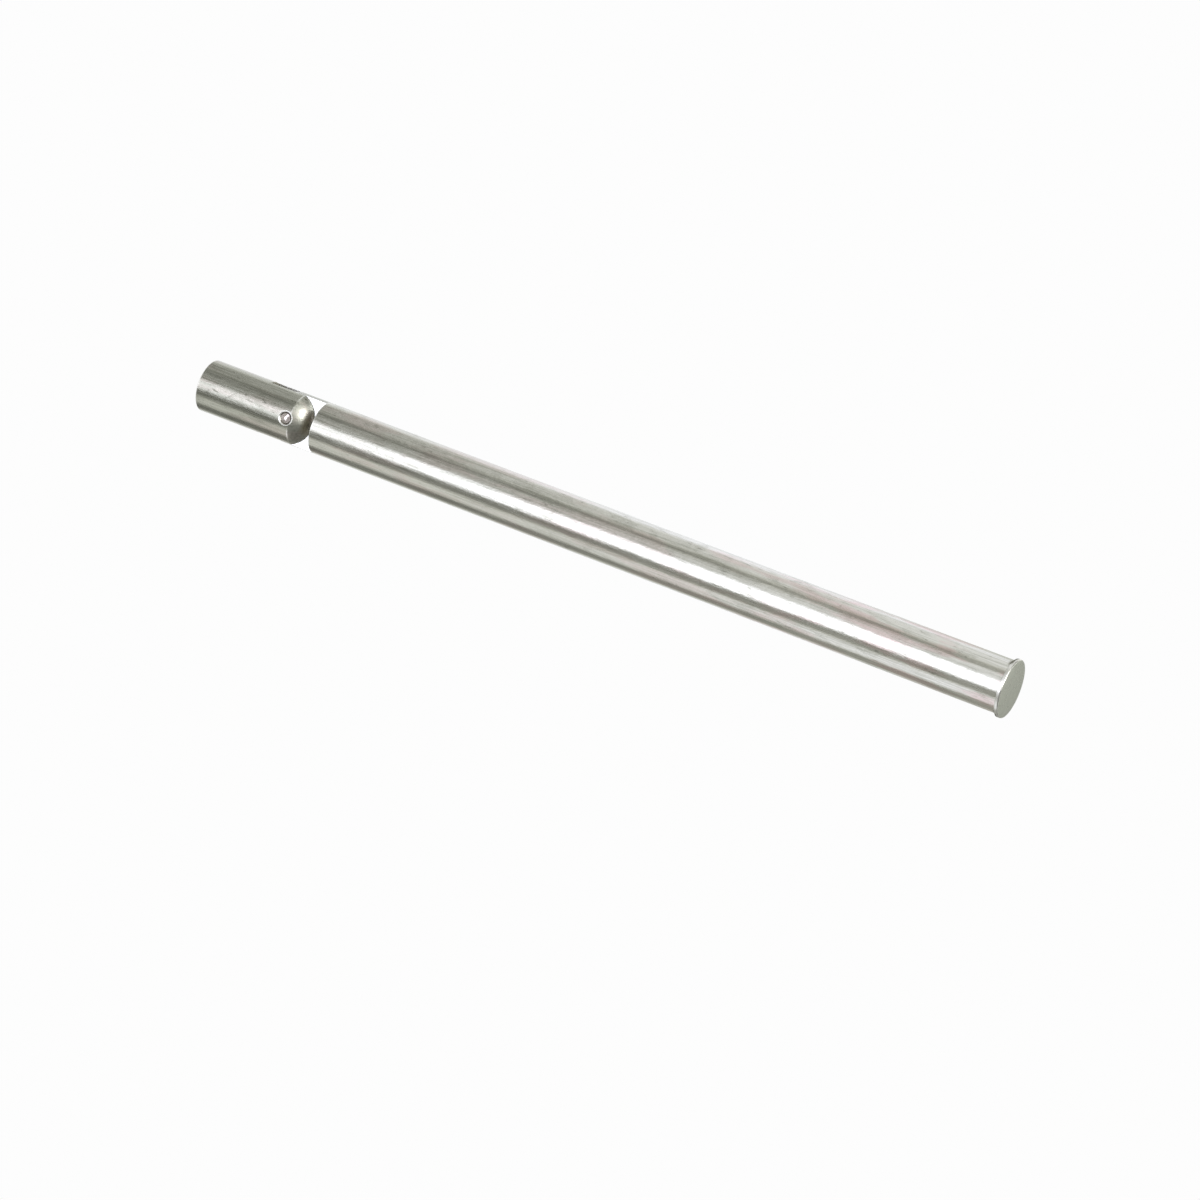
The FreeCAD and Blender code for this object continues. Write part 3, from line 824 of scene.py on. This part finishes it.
def make_world():
    """The studio's strips, soft boxes and dark walls, by direction."""
    world = bpy.data.worlds.new("studio")
    bpy.context.scene.world = world
    world.use_nodes = True
    tree = Tree(world.node_tree)
    direction = tree.node("ShaderNodeTexCoord").outputs["Generated"]
    parts = tree.node("ShaderNodeSeparateXYZ")
    tree.put(parts.inputs[0], direction)
    along = parts.outputs["X"]
    flat = tree.node("ShaderNodeVectorMath", operation="MULTIPLY")
    tree.put(flat.inputs[0], direction)
    tree.put(flat.inputs[1], (0, 1, 1))
    around = tree.node("ShaderNodeVectorMath", operation="NORMALIZE")
    tree.put(around.inputs[0], flat.outputs[0])
    around = around.outputs[0]

    near_light = tree.ramp(along, NOSE_SIDE, HEAD_SIDE, *DIM)
    for angle, core, edge, nose_bright, head_bright, start, end in STRIPS:
        strip = lit(tree, around, bar_point(0, math.radians(angle), 1), core, edge)
        brightness = tree.ramp(along, start, end, nose_bright, head_bright)
        near_light = tree.maths("MULTIPLY_ADD", strip, brightness, near_light)
    far_light = FAR_DIM
    for angle, core, edge, brightness in FAR_STRIPS:
        strip = lit(tree, around, bar_point(0, math.radians(angle), 1), core, edge)
        far_light = tree.maths("MULTIPLY_ADD", strip, brightness, far_light)
    light = tree.blend(tree.ramp(along, HEAD_SIDE, FAR_SIDE), near_light, far_light)
    tint = tree.blend(tree.ramp(tree.maths("MAXIMUM", light, 0.0), 0.5, 1.4), DARK_TINT, BRIGHT_TINT)
    light = tree.blend(1.0, light, tint, "MULTIPLY")
    for way, brightness, core, edge in SOFT_BOXES:
        box = tree.maths("MULTIPLY", lit(tree, direction, way, core, edge), brightness)
        light = tree.blend(1.0, light, box, "ADD")
    tree.put(world.node_tree.nodes["Background"].inputs["Color"], light)


CAMERA_LENS = 150.9
CAMERA_SENSOR = 36
CAMERA_AZIMUTH = 21.93
CAMERA_ELEVATION = 8.59
CAMERA_ROLL = 17.6
CAMERA_DISTANCE = 1.1001
AIM_FROM_MIDDLE = Vector((5.5, 0.0, -13.8)) * MM


def make_camera():
    data = bpy.data.cameras.new("camera")
    data.lens = CAMERA_LENS
    data.sensor_width = CAMERA_SENSOR
    camera = bpy.data.objects.new("camera", data)
    bpy.context.scene.collection.objects.link(camera)
    around, up = math.radians(CAMERA_AZIMUTH), math.radians(CAMERA_ELEVATION)
    back = Vector((math.sin(around) * math.cos(up), -math.cos(around) * math.cos(up), math.sin(up)))
    aim = (cad_low + cad_high) / 2 + AIM_FROM_MIDDLE
    level = (-back).to_track_quat("-Z", "Y").to_matrix().to_4x4()
    roll = Matrix.Rotation(math.radians(CAMERA_ROLL), 4, "Z")
    camera.matrix_world = Matrix.Translation(aim + back * CAMERA_DISTANCE) @ level @ roll
    bpy.context.scene.camera = camera


make_backdrop()
make_world()
make_camera()
bpy.context.scene.view_settings.view_transform = "Standard"
